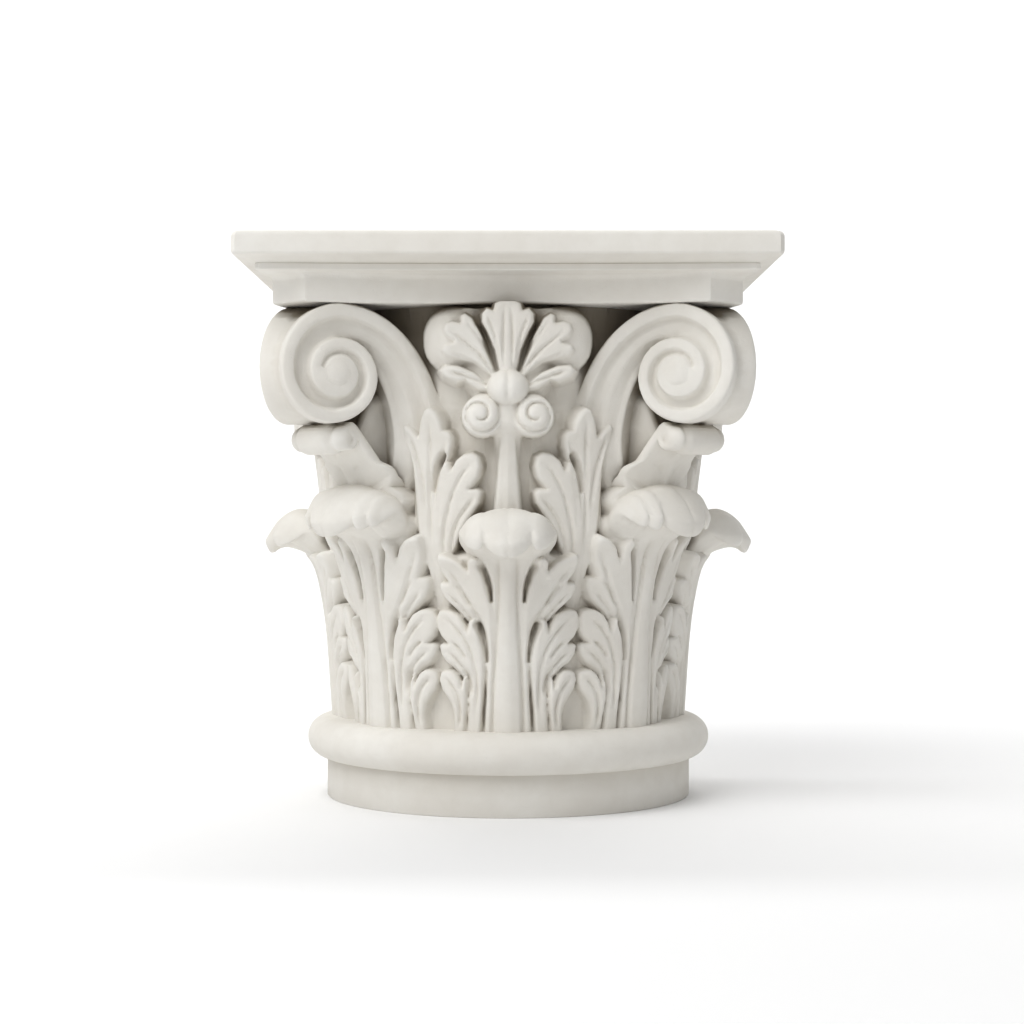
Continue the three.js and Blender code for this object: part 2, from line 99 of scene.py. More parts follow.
# A rounded top, 1 in the middle and 0 where the share is 1.
def arch(share, power=2):
    return np.sqrt(np.clip(1 - share**power, 0, 1))


def splineThrough(points, steps):
    points = np.array(points, dtype=float)
    padded = np.vstack([2 * points[0] - points[1], points, 2 * points[-1] - points[-2]])
    result = []
    for i in range(len(points) - 1):
        p0, p1, p2, p3 = padded[i : i + 4]
        for t in np.arange(steps) / steps:
            a = 2 * p1 + (p2 - p0) * t
            b = (2 * p0 - 5 * p1 + 4 * p2 - p3) * t**2
            c = (3 * p1 - p0 - 3 * p2 + p3) * t**3
            result.append(0.5 * (a + b + c))
    result.append(points[-1])
    return np.array(result)


# A picture of values over a plane, in millimetres, that can be read at any point.
class Chart:
    def __init__(self, uLow, uHigh, vLow, vHigh, step=0.5):
        self.low = (uLow, vLow)
        self.step = step
        self.u = np.arange(uLow, uHigh + step, step)[:, None]
        self.v = np.arange(vLow, vHigh + step, step)[None, :]
        self.values = np.zeros((self.u.size, self.v.size))

    def read(self, u, v, values=None):
        values = self.values if values is None else values
        s = np.clip((u - self.low[0]) / self.step, 0, values.shape[0] - 1.001)
        t = np.clip((v - self.low[1]) / self.step, 0, values.shape[1] - 1.001)
        i = s.astype(int)
        j = t.astype(int)
        s = s - i
        t = t - j
        first = values[i, j] * (1 - t) + values[i, j + 1] * t
        second = values[i + 1, j] * (1 - t) + values[i + 1, j + 1] * t
        return first * (1 - s) + second * s

    def soften(self, amount):
        reach = max(1, int(round(2.5 * amount / self.step)))
        kernel = np.exp(-0.5 * (np.arange(-reach, reach + 1) * self.step / amount) ** 2)
        kernel /= kernel.sum()
        for axis in (0, 1):
            pad = [(reach, reach) if k == axis else (0, 0) for k in (0, 1)]
            padded = np.pad(self.values, pad, mode="edge")
            size = self.values.shape[axis]
            parts = [np.take(padded, range(k, k + size), axis) * w for k, w in enumerate(kernel)]
            self.values = np.sum(parts, axis=0)
        return self


# The nearest place on a line of points: its share along the line and its distance.
def nearestOnLine(chart, line):
    best = np.full((chart.u.size, chart.v.size), 1e9)
    share = np.zeros_like(best)
    lengths = np.concatenate([[0], np.cumsum(np.linalg.norm(np.diff(line, axis=0), axis=1))])
    for k in range(len(line) - 1):
        a, b = line[k], line[k + 1]
        run = b - a
        size = max(float(run @ run), 1e-9)
        t = np.clip(((chart.u - a[0]) * run[0] + (chart.v - a[1]) * run[1]) / size, 0, 1)
        du = chart.u - (a[0] + t * run[0])
        dv = chart.v - (a[1] + t * run[1])
        distance = np.hypot(du, dv)
        closer = distance < best
        best = np.where(closer, distance, best)
        share = np.where(closer, (lengths[k] + t * math.sqrt(size)) / lengths[-1], share)
    return share, best


# Distance to a closed outline, less than nothing inside it.
def outlineDistance(chart, outline):
    best = np.full((chart.u.size, chart.v.size), 1e9)
    inside = np.zeros(best.shape, dtype=bool)
    for a, b in zip(outline, np.roll(outline, -1, axis=0)):
        run = b - a
        size = max(float(run @ run), 1e-9)
        t = np.clip(((chart.u - a[0]) * run[0] + (chart.v - a[1]) * run[1]) / size, 0, 1)
        distance = np.hypot(chart.u - (a[0] + t * run[0]), chart.v - (a[1] + t * run[1]))
        best = np.minimum(best, distance)
        if abs(run[1]) > 1e-9:
            crosses = (chart.v >= min(a[1], b[1])) & (chart.v < max(a[1], b[1]))
            at = a[0] + (chart.v - a[1]) / run[1] * run[0]
            inside ^= crosses & (chart.u < at)
    return np.where(inside, -best, best)


# An eye between two blades: a tear-shaped pit along a line, pointed at the line's end.
def addPit(chart, points, width, depth):
    share, distance = nearestOnLine(chart, splineThrough(points, 6))
    half = width * (1 - 0.65 * share)
    chart.values = chart.values - depth * (1 - smoothstep(distance / half, 0.45, 1.25))


# One blade of a leaf: a rounded cushion within an outline, cut by veins, laid over what is there.
# top gives its crown at two levels. From the levels in shade upwards it presses down what lies
# behind its rim.
def addBlade(chart, outline, top, rounding=3.8, drop=4.0, veins=(), shade=None, veinDepth=2.4):
    inside = -outlineDistance(chart, np.array(outline, dtype=float))
    if shade:
        near = (1 - smoothstep(-inside, 0.0, 8.0)) * smoothstep(chart.v, *shade)
        chart.values = chart.values - 3.8 * near * (inside < 0)
    (lowV, lowTop), (highV, highTop) = top
    crown = lerp(lowTop, highTop, smoothstep(chart.v, lowV, highV))
    crown = crown - 0.7 * smoothstep(inside, 2.2, 6.5)
    share = np.clip(inside / rounding, 0, 1)
    body = crown - drop * (1 - np.sqrt(1 - (1 - share) ** 2))
    body = np.where(inside < 0, crown - drop + inside * 7, body)
    for vein in veins:
        along, distance = nearestOnLine(chart, splineThrough(vein, 6))
        fade = smoothstep(along, 0.0, 0.2) * (1 - 0.9 * smoothstep(along, 0.8, 1.0))
        body = body - veinDepth * fade * ridge(distance, 1.0)
        body = body + 0.5 * fade * ridge(distance - 2.6, 1.5)
    chart.values = smoothMax(chart.values, body, 0.45)


leafBlades = {
    "top": [
        (9.8, 56), (17.6, 56), (15.6, 84), (15.0, 104), (17.5, 116), (21, 127), (26, 137),
        (31, 142.5), (38, 149.5), (43.5, 156), (46.3, 162), (46.2, 166.5), (43.5, 167.6),
        (39.5, 167.2), (44, 174.5), (45.2, 181), (44.6, 187), (41.5, 188), (36, 185.5),
        (30, 181.5), (25.6, 175.5), (25.2, 182), (22, 186), (18.4, 184.5), (15.8, 178),
        (14.2, 168), (12.0, 158), (9.6, 150), (9.0, 120),
    ],
    "middle": [
        (18.6, 56), (30.0, 56), (28.4, 80), (30, 92), (33, 98.6), (38, 103.4), (44.5, 109),
        (48.8, 115.6), (49.8, 121.5), (47.5, 123.4), (42.6, 123.2), (48.0, 128.5), (50.4, 134.4),
        (50.6, 141), (48.4, 146.6), (43, 148), (38, 146.8), (33, 143.4), (29.2, 137.4),
        (27.8, 132), (26.6, 139.4), (23.4, 141.2), (20.2, 136.5), (18.4, 128.5), (16.6, 118),
        (15.2, 109), (16.0, 92), (17.6, 75),
    ],
    "bottom": [
        (31.0, 56), (41.6, 56), (40.2, 66), (39.8, 72), (41.5, 79), (44.5, 84.2), (48.6, 90),
        (50.4, 97), (48.8, 102.6), (44, 104.2), (40, 103.8), (36.2, 100.8), (33.4, 95.4),
        (32.4, 91.5), (31.8, 98.6), (29.4, 99.6), (28.2, 95), (28.6, 82), (30.0, 68),
    ],
}
leafVeins = {
    "top": [
        [(12.6, 100), (14.5, 124), (20, 142), (28, 158), (36, 172), (43, 182)],
        [(15.6, 112), (20.5, 130), (27, 143), (34.5, 153), (43, 162.5)],
        [(25, 150), (30.5, 160), (36.5, 167)],
    ],
    "middle": [
        [(22.5, 70), (21.5, 92), (23.5, 110), (29, 125), (37, 136), (46, 143.5)],
        [(25.6, 84), (28, 99), (34, 109), (44, 119)],
        [(28.5, 112), (34, 120), (41, 126)],
    ],
    "bottom": [
        [(35.5, 62), (34.2, 76), (37, 88), (41.5, 95), (46.5, 99.5)],
    ],
}


# Lower leaf as seen from in front: u sideways from its middle, v its height on the leaf of a face.
# Values are how far the surface lies out from the crown of the midrib, mostly below nothing.
def lowerLeafChart():
    chart = Chart(-1, 62, 56, 206)
    chart.values[:] = -18.0
    rim = [(0, 50), (42, 50), (40, 70), (45, 84), (49, 100), (45, 108), (48, 122), (49, 146)]
    rim += [(40, 150), (45, 165), (43, 186), (28, 188), (28, 203), (0, 203)]
    ground = outlineDistance(chart, np.array(rim, dtype=float))
    chart.values = np.maximum(chart.values, -10.5 - 9 * smoothstep(ground, -3.0, 2.5))
    strip = [(5, 50), (10.6, 50), (9.6, 110), (10.4, 150), (13.2, 166), (15.4, 182)]
    strip += [(17.5, 203), (4, 203)]
    addBlade(chart, strip, ((60, -3.6), (190, -3.2)), rounding=2.4, drop=2.0)
    tops = {
        "top": ((120, -2.6), (185, -0.6)),
        "middle": ((90, -2.8), (140, -0.2)),
        "bottom": ((62, -2.8), (98, -0.2)),
    }
    shades = {"top": None, "middle": (122, 134), "bottom": (84, 92)}
    for name, outline in leafBlades.items():
        addBlade(chart, outline, tops[name], veins=leafVeins[name], shade=shades[name])
    addPit(chart, [(16.6, 179), (13.4, 171), (11.5, 163), (10.9, 154)], 2.6, 7.0)
    addPit(chart, [(20.6, 137), (17.6, 129), (15.4, 120), (14.4, 111)], 2.6, 7.0)
    addPit(chart, [(29.6, 98), (28.8, 92), (28.6, 85)], 1.6, 4.0)
    half = 10.0 - 4.7 * smoothstep(chart.v, 62, 168)
    q = np.abs(chart.u) / half
    midrib = -2.2 * q**2 - 14 * np.clip(q - 0.9, 0, None)
    midrib = midrib - 0.5 * ridge(np.abs(chart.u) - 0.5 * half, 0.8)
    chart.values = smoothMax(chart.values, midrib, 0.4)
    chart.values = chart.values - 2.2 * ridge(np.abs(chart.u) - half - 0.6, 1.0)
    edge = splineThrough([(18.1, 56), (16.6, 80), (15.5, 98), (15.6, 110)], 6)
    chart.values = chart.values - 2.4 * ridge(nearestOnLine(chart, edge)[1], 1.0)
    return chart.soften(0.25)


# Upper leaf, seen flat: u is the distance round the bell from the middle of the face.
def upperLeafChart():
    chart = Chart(-2, 118, 130, 300)
    chart.values[:] = -18.0
    middle = [(50, 130), (62, 130), (66, 185), (74, 215), (74, 240), (66, 272), (52, 276)]
    middle += [(36, 250), (30, 225), (38, 195)]
    ground = outlineDistance(chart, np.array(middle, dtype=float))
    chart.values = np.maximum(chart.values, -7.5 - 11 * smoothstep(ground, -1.0, 3.0))
    high = [
        (55, 130), (61, 130), (66, 185), (70, 215), (72, 250), (76, 266), (78, 277), (75, 281),
        (69, 276), (66, 271), (63.5, 281), (59, 290), (54.5, 292), (50, 288.5), (46.5, 281.5),
        (46.2, 275.5), (42.5, 275), (39.5, 271), (40, 264), (44, 252), (46, 235), (50, 205),
    ]
    veins = [
        [(58, 190), (58, 230), (57, 262), (55, 287)],
        [(61, 215), (64, 240), (69, 260), (75, 276)],
        [(55, 215), (52.5, 238), (48, 256), (43, 270)],
    ]
    addBlade(chart, high, ((200, -3.2), (285, 0.0)), veins=veins)
    low = [
        (50, 130), (58, 130), (59, 185), (56, 210), (54, 224), (52, 236), (50, 246), (46, 253),
        (42.5, 252.5), (41.5, 247), (38, 254), (32, 258.6), (25, 259.8), (20.4, 257), (18.6, 250),
        (20.4, 242), (25, 236), (28, 233.6), (22, 234), (18.8, 231), (19.4, 224), (24, 216),
        (32, 204), (42, 186),
    ]
    veins = [
        [(50, 180), (47, 205), (40, 230), (32, 245), (23, 254)],
        [(44, 185), (39, 205), (31, 219), (22, 229)],
        [(52, 205), (50, 228), (46, 249)],
    ]
    addBlade(chart, low, ((200, -2.4), (256, 0.4)), veins=veins, shade=(225, 245))
    addPit(chart, [(47.6, 258), (52, 250), (54.6, 242), (55.5, 232)], 2.6, 6.0)
    return chart.soften(0.4)


def bellRadius(v):
    share = np.clip((v - bell["foot"]) / (bell["top"] - bell["foot"]), 0, 1)
    waist = lerp(bell["footRadius"], bell["waistRadius"], np.minimum(1, share / 0.5))
    return waist + (bell["lipRadius"] - bell["waistRadius"]) * smoothstep(share, 0.55, 1)


# A lower leaf's front and back from its foot to its tip: shares of the curl's reach and of the
# leaf's height.
frontPoints = [(0.16, 0), (0.21, 0.15), (0.26, 0.3), (0.33, 0.45), (0.44, 0.59), (0.58, 0.705)]
frontPoints += [(0.76, 0.768), (1.0, 0.818), (1.24, 0.842), (1.45, 0.84), (1.62, 0.812)]
backPoints = [(-0.3, 0), (-0.3, 0.15), (-0.3, 0.3), (-0.3, 0.45), (-0.29, 0.61), (-0.2, 0.77)]
backPoints += [(0.1, 0.9), (0.45, 0.975), (0.88, 1), (1.36, 0.97), (1.74, 0.865)]
footRadius = neck["radius"] - 8.0
leafHalfWidth = 50.2


def leafLine(points, height):
    line = splineThrough(points, 8)
    out = footRadius + line[:, 0] * leafCurl["reach"]
    return np.column_stack([out, bell["foot"] + line[:, 1] * height])


# Radius of the carved wall round the bell, over the angle from the face's middle and the height.
def wallChart():
    chart = Chart(-3, 93, 56, 372)
    degrees = np.where(chart.u > 45, 90 - chart.u, np.abs(chart.u))
    level = np.broadcast_to(chart.v, chart.values.shape)
    radians = np.radians(degrees)
    ground = bellRadius(chart.v) - 6.5 * (1 - smoothstep(chart.v, 178, 206))
    wall = np.broadcast_to(ground, chart.values.shape).copy()
    upper = upperLeafChart()
    bend = 6.0 * smoothstep(level, 262, 296)
    relief = upper.read(radians * 147.0, level)
    sunk = 17 * (1 - smoothstep(level, 140, 208))
    wall = np.maximum(wall, bellRadius(level) + 14.0 + bend + relief - sunk)
    stalkHalf = lerp(15.5, 6.2, np.sqrt(np.clip((level - 204) / 70, 0, 1)))
    across = radians * 142.0
    q = across / stalkHalf
    flutes = 0.7 * np.cos(2.6 * math.pi * np.clip(q, 0, 1.2))
    stalkDepth = lerp(9.5, 17.0, np.clip((level - 204) / 70, 0, 1))
    stalk = bellRadius(level) + stalkDepth * np.sqrt(np.clip(1.02 - q**4, 0, 1)) + flutes
    stalk = stalk - 24 * (1 - smoothstep(level, 172, 204))
    wall = np.where((q < 1.1) & (level < 286), smoothMax(wall, stalk, 1.0), wall)
    lower = lowerLeafChart()
    for centre, height in ((0.0, leafCurl["faceHeight"]), (45.0, leafCurl["cornerHeight"])):
        front = leafLine(frontPoints, height)
        taller = 1 - leafCurl["faceHeight"] / height
        rising = front[front[:, 1] < bell["foot"] + 0.78 * height]
        crown = np.interp(level[0], rising[:, 1], rising[:, 0])[None, :]
        turned = np.abs(degrees - centre)
        recess = 8.0 * (turned / 22.5) ** 2
        away = leafHalfWidth * np.sin(np.radians(turned)) / math.sin(math.pi / 8)
        flat = level - (level - bell["foot"]) * taller * smoothstep(level, 150, 205)
        outward = crown - recess + lower.read(away, flat)
        outward = outward - 40 * smoothstep(flat, 188, 200)
        wall = np.maximum(wall, outward)
    chart.values = wall
    slopeU, slopeV = np.gradient(wall, chart.step)
    slopeU = slopeU / np.radians(1.0) / 140.0
    chart.slope = np.sqrt(1 + np.clip(slopeU**2 + slopeV**2, 0, 9))
    return chart


# Section through the curl of a lower leaf, out from the axis and up.
def curlChart(height):
    front = leafLine(frontPoints, height)
    back = leafLine(backPoints, height)
    chart = Chart(118, 204, 130, 250)
    bendStart = 36
    share = np.linspace(0, 1, len(front))
    front[:, 0] -= 9.0 * (1 - smoothstep(share, 0.45, 0.72))
    outline = np.vstack([front[bendStart:], back[bendStart:][::-1]])
    chart.values = outlineDistance(chart, outline)
    return chart.soften(1.8)


# A dome: the section shrinks towards its sides. bounds are where its lobes meet, as shares of
# halfWidth.
def curlField(out, across, level, chart, halfWidth, height, dome, bounds):
    edge = across / halfWidth
    shrink = np.sqrt(np.clip(1 - dome * edge**2, 0.1, 1))
    pivotOut = footRadius + 0.5 * leafCurl["reach"]
    pivotUp = bell["foot"] + 0.885 * height
    droop = 3.2 * np.clip(1 - (edge / bounds[0]) ** 2, 0, 1) * smoothstep(out, 158, 178)
    sectionOut = pivotOut + (out - pivotOut) / shrink
    sectionUp = pivotUp + (level + droop - pivotUp) / shrink
    section = chart.read(sectionOut, sectionUp) * shrink
    section = section - 1.6 * (1 - shrink) - 1.8 * smoothstep(out, 150, 170)
    tip = smoothstep(out, 166, 184) * (1 - smoothstep(level, pivotUp - 4, pivotUp + 9))
    groove = 0.7 * ridge(across, 1.2) * smoothstep(out, 150, 165)
    stops = [-bounds[0], *bounds, 1.0]
    for low, high in zip(stops[:-1], stops[1:]):
        q = np.clip((2 * edge - low - high) / (high - low), -1, 1)
        lobe = (1 - np.sqrt(1 - 0.96 * q**2)) * ((edge >= low) & (edge < high))
        seam = 2.0 * smoothstep(out, 140, 166) + 4.4 * tip
        groove = groove + lobe * seam * lerp(0.6, 1.0, shrink)
    half = halfWidth * lerp(0.3, 1.1, smoothstep(level, pivotUp - 34, pivotUp - 4))
    return smoothMax(section + groove, across - half, 9.0)


# Horn leaf's ribbon on the corner: it rises behind the curl and ends in a roll.
cornerShare = abacus["fasciaWidth"] / 2 - abacus["cornerCut"] / 2
rimDistance = cornerShare * math.sqrt(2) + volute["overhang"]
eye = np.array([0.815 * volute["radius"], abacus["foot"] - volute["radius"] + 0.4])


def hornChart():
    rollOut = rimDistance - 1.01 * volute["radius"] + 5
    rollUp = eye[1] - volute["radius"] * volute["shrink"] ** 0.5 - horn["rollRadius"]
    foot = bell["foot"] + 0.44 * (bell["top"] - bell["foot"])
    middle = horn["rollRadius"] - horn["thickness"] / 2
    waist = bell["waistRadius"]
    points = [(waist - 12, foot - 4), (waist + 9, foot + 16)]
    points.append((waist + 16, lerp(foot, rollUp, 0.55)))
    for i in range(9):
        turn = math.radians(140 - i * 400 / 8)
        shrink = middle * (1 - 0.055 * i)
        points.append((rollOut + shrink * math.cos(turn), rollUp + shrink * math.sin(turn)))
    chart = Chart(120, 206, 180, 300)
    share, distance = nearestOnLine(chart, splineThrough(points, 8))
    chart.values = distance - horn["thickness"] / 2 * (1 - 0.35 * smoothstep(share, 0.7, 1.0))
    chart.roll = (rollOut, rollUp)
    chart.body = Chart(110, 206, 180, 330)
    front = [(112, foot - 10), (140, foot + 6), (146, foot + 26), (155, foot + 44)]
    front += [(rollOut - 14, rollUp - 6), (rollOut - 9, rollUp + 1)]
    back = [(rollOut - 20, rollUp + 9), (158, rollUp + 30), (140, rollUp + 44), (112, rollUp + 52)]
    chart.body.values = outlineDistance(chart.body, np.array(front + back))
    return chart


def hornField(out, across, level, chart):
    lobe = ((level - 197) / 19.0) % 1.0
    lobed = 6.0 * arch(2 * lobe**1.5 - 1) * (1 - smoothstep(level, 250, 256))
    half = lerp(horn["halfWidth"] - 5, horn["rollHalf"] - 3, smoothstep(level, 205, 258)) + lobed
    thicken = 7.0 * (1 - smoothstep(level, 222, 250))
    section = chart.read(out + 7.0 * (across / horn["rollHalf"]) ** 2, level) - thicken
    slant = ((level - 197) / 19.0 - across / 34.0) % 1.0
    veins = 1.3 * ridge(slant - 0.5, 0.13) * smoothstep(across, 5, 9)
    midrib = -1.6 * ridge(across, 3.6)
    front = (veins + midrib) * (1 - smoothstep(level, 248, 256))
    roll = np.hypot(out - chart.roll[0], (level - chart.roll[1]))
    roll = roll - horn["rollRadius"] * np.sqrt(np.clip(1.05 - (across / 28) ** 4, 0.05, 1))
    roll = roll + 2.4 * ridge(across - 18.5, 2.2)
    body = smoothMax(section + front, across - half, 2.5)
    fullHalf = lerp(40.0, 17.0, smoothstep(level, 200, 262))
    full = smoothMax(chart.body.read(out, level) + 2.0, across - fullHalf, 9.0)
    for share in (0.0, 0.5):
        full = full + 1.5 * ridge(across - share * fullHalf, 1.5)
    body = smoothMin(body, full, 2.0)
    return smoothMin(body, smoothMax(roll, across - 28, 4.0), 1.2)


# Volute: the face plane's outline and how deep its channel is. u runs in from the rim, v is height.
def outerEdgeAt(turns):
    return volute["radius"] * volute["shrink"] ** turns


def spiralPoint(turns):
    angle = 2 * math.pi * turns
    return eye + outerEdgeAt(turns) * np.array([-math.sin(angle), math.cos(angle)])


stemRun = 1.62 * volute["radius"]
stemDrop = 2.07 * volute["radius"]
stemBase = eye[1] + volute["radius"] - stemDrop


def stemPoint(angle, inset):
    inward = eye[0] + (stemRun - inset) * math.sin(angle)
    return np.array([inward, stemBase + (stemDrop - inset) * math.cos(angle)])


def voluteCharts():
    foot = bell["foot"] + 0.46 * (bell["top"] - bell["foot"])
    points = [np.array([eye[0] + stemRun, foot])]
    points += [stemPoint(math.pi / 2 * (1 - i / 24), 0) for i in range(24)]
    points += [spiralPoint(0.79 * i / 60) for i in range(61)]
    join = points[-1]
    start = math.asin((join[0] - eye[0]) / (stemRun - volute["stemWidth"]))
    gap = join[1] - stemPoint(start, volute["stemWidth"])[1]
    for i in range(1, 13):
        point = stemPoint(lerp(start, math.pi / 2, i / 12), volute["stemWidth"])
        points.append(point + np.array([0, gap * (1 - i / 12)]))
    points.append(np.array([eye[0] + stemRun - volute["stemWidth"], foot]))
    outline = Chart(-12, 150, 190, 372)
    outline.values = outlineDistance(outline, np.array(points))
    relief = Chart(-12, 150, 190, 372)
    du = relief.u - eye[0]
    dv = relief.v - eye[1]
    radius = np.hypot(du, dv)
    turn = (np.arctan2(-du, dv) / (2 * math.pi)) % 1.0
    radius = np.maximum(radius, 0.5)
    windings = np.log(volute["radius"] / radius) / math.log(1 / volute["shrink"])
    total = np.clip(np.floor(windings - turn), 0, 3) + turn
    outer = outerEdgeAt(total)
    inner = outer * volute["shrink"]
    band = volute["band"] * (outer / volute["radius"]) ** 0.25
    place = (outer - band - radius) / np.maximum(outer - band - inner, 0.5)
    depth = np.minimum(volute["depth"], 0.9 * (outer - band - inner))
    hollow = depth * arch(2 * place - 1, 4) * (place > 0) * (place < 1)
    crown = ((outer - radius) / band - 0.5) ** 2
    spiral = np.where(place > 0, hollow, crown)
    spiral = np.where(total > volute["turns"] - 1, 0.0, spiral)
    button = 0.6 - 2.4 * arch(radius / volute["button"])
    spiral = np.where(radius < volute["button"], button, spiral)
    rise = np.maximum(relief.v - stemBase, 1e-3)
    run = np.arctan2(np.maximum(du, 1e-3) / stemRun, rise / stemDrop)
    reach = np.hypot(du, relief.v - stemBase)
    edge = np.hypot(stemRun * np.sin(run), stemDrop * np.cos(run))
    inset = edge - reach
    inset = np.where(relief.v < stemBase, eye[0] + stemRun - relief.u, inset)
    outerTurn = volute["radius"] * (1 - volute["shrink"])
    innerBand = lerp(outerTurn, volute["stemWidth"] - 4, np.clip(run / 1.2, 0, 1))
    stemPlace = (inset - volute["band"]) / (innerBand - volute["band"])
    stem = volute["depth"] * (arch(2 * np.minimum(stemPlace, 0.5) - 1, 4) * (stemPlace > 0))
    stem = stem + 7.0 * smoothstep(stemPlace, 0.5, 1.1) * smoothstep(du, 0.0, 30.0)
    ahead = (du > 0) & (inset > -6) & ((radius > outerEdgeAt(turn)) | (relief.v < eye[1] - 4))
    onStem = ahead & ((turn > 0.72) | (relief.v < eye[1])) & (radius > outerEdgeAt(turn))
    relief.values = np.where(onStem, stem, spiral)
    relief.soften(0.55)
    return outline, relief


def voluteField(x, d, level, charts):
    outline, relief = charts
    across = (x - d) / math.sqrt(2)
    turn = math.pi / 8
    rimMiddle = rimDistance / math.sqrt(2)
    half = volute["rim"] / 2 / math.sqrt(2)
    fromX = x - (rimMiddle - half)
    fromD = d - (rimMiddle + half)
    inward = -math.cos(turn) * fromX - math.sin(turn) * fromD
    depth = math.sin(turn) * fromX - math.cos(turn) * fromD
    edge = outline.read(inward, level)
    rimHollow = 1.2 * (1 - smoothstep(np.abs(across), 3.5, 9.0)) * (inward < eye[0] + 12)
    sink = 24 * (1 - smoothstep(level, 204, 270)) * smoothstep(inward, 55, 75)
    face = relief.read(inward, level) - depth + sink
    return smoothMax(edge + rimHollow, face, 2.2)


# Flower in the middle of the face, as a relief seen from the front: u across, v up, values out
# along d.
def flowerChart():
    chart = Chart(-2, 74, 250, 372)
    chart.values[:] = 90.0
    bumpU, bumpV = (chart.u - 37) / 24, (chart.v - 340) / 25
    bump = 133 + 23 * np.sqrt(np.clip(1 - bumpU**2 - np.abs(bumpV) ** 2.4, 0, 1))
    calyxHalf = 10 + 34 * smoothstep(chart.v, 262, 336)
    calyx = 128 + 23.5 * arch(chart.u / calyxHalf, 4) * smoothstep(chart.v, 256, 300)
    chart.values = np.where(bump > 133.1, smoothMax(chart.values, bump, 1.0), chart.values)
    onCalyx = (chart.u < calyxHalf) & (chart.v < 362)
    chart.values = np.where(onCalyx, smoothMax(chart.values, calyx, 2.0), chart.values)
    lowFan = [(4, 303), (14, 308), (24, 316), (35, 320.5), (44, 321), (48, 317), (45, 312.5)]
    lowFan += [(36, 308), (30, 310), (22, 303), (4, 299)]
    fan = [
        (3, 306), (9, 318), (14, 332.7), (19.5, 346), (24, 353.5), (30, 357.5), (33.6, 355.5),
        (33.4, 350.5), (39, 352), (44.2, 350), (46, 345), (43.5, 340), (38.5, 337), (45, 335.5),
        (47.4, 331), (44, 326.6), (35, 325), (24, 321.5), (14, 314), (4, 303),
    ]
    centre = [(-8, 306), (4, 306), (6.4, 318), (9.2, 331), (14.6, 343.5), (18.4, 350)]
    centre += [(18.4, 356.5), (14.6, 360.8), (10.4, 359), (9.4, 363.8), (4.6, 367), (-8, 367)]
    veins = [[(6, 303), (22, 310), (42, 317)]]
    addBlade(chart, lowFan, ((300, 154.5), (325, 156.5)), drop=4.5, veins=veins)
    veins = [
        [(5, 309), (14, 330), (30, 353)],
        [(5, 307), (20, 328), (42, 346)],
        [(6, 306), (22, 321), (43, 331)],
    ]
    addBlade(chart, fan, ((305, 155.5), (350, 161)), drop=6.0, veins=veins, veinDepth=2.0)
    veins = [[(2.8, 308), (3.4, 335), (2.2, 362)], [(4.2, 312), (8, 336), (15, 356)]]
    tops = ((305, 158), (360, 165))
    addBlade(chart, centre, tops, drop=6.0, veins=veins, shade=(310, 330), veinDepth=2.0)
    between = 150 + 9 * arch(chart.u / 10)
    between = between - 18 * (1 - smoothstep(chart.v, 256, 282))
    isBetween = (chart.u < 10) & (chart.v > 252) & (chart.v < 300)
    chart.values = np.where(isBetween, smoothMax(chart.values, between, 1.0), chart.values)
    helix = np.hypot(chart.u - 17.6, chart.v - 285)
    fromEye = np.hypot(chart.u - 19.6, chart.v - 286)
    turn = np.arctan2(chart.v - 286, chart.u - 19.6) / (2 * math.pi)
    dome = 150 + 15 * arch(helix / 15.6, 2.6)
    wind = (fromEye / 8.2 + turn + 0.3) % 1.0
    groove = 4.0 * ridge(wind - 0.5, 0.14) * smoothstep(fromEye, 2.0, 4.5)
    groove = groove * (1 - smoothstep(helix, 12.5, 15.0))
    chart.values = np.where(helix < 15.6, smoothMax(chart.values, dome - groove, 0.8), chart.values)
    ball = np.hypot(chart.u / 1.14, chart.v - 305)
    knob = 157 + 12.5 * arch(ball / 12.7) - 2.0 * ridge(chart.u, 1.6)
    chart.values = np.where(ball < 12.7, np.maximum(chart.values, knob), chart.values)
    chart.soften(0.4)
    slopeU, slopeV = np.gradient(chart.values, chart.step)
    chart.slope = np.sqrt(1 + np.clip(slopeU**2 + slopeV**2, 0, 9))
    return chart


# The carving of the eighth as one field, less than nothing inside the plaster. level is the height.
def carvingField(x, d, level):
    degrees = np.degrees(np.arctan2(x, d))
    radius = np.hypot(x, d)
    wall = wallChart()
    field = (radius - wall.read(degrees, level)) / wall.read(degrees, level, wall.slope)
    out = (x + d) / math.sqrt(2)
    across = np.abs(x - d) / math.sqrt(2)
    tall = leafCurl["cornerHeight"]
    low = leafCurl["faceHeight"]
    width = leafCurl["halfWidth"]
    face = curlField(d, np.abs(x), level, curlChart(low), width - 1, low, 0.88, (0.52,))
    corner = curlField(out, across, level, curlChart(tall), width + 6, tall, 0.8, (0.6, 0.84))
    field = smoothMin(field, smoothMin(face, corner, 0.5), 1.5)
    field = smoothMin(field, hornField(out, across, level, hornChart()), 1.5)
    flower = flowerChart()
    flowerValue = (d - flower.read(np.abs(x), level)) / flower.read(np.abs(x), level, flower.slope)
    field = smoothMin(field, np.where(level > 252, flowerValue, 9.0), 0.8)
    return smoothMin(field, voluteField(x, d, level, voluteCharts()), 0.8)


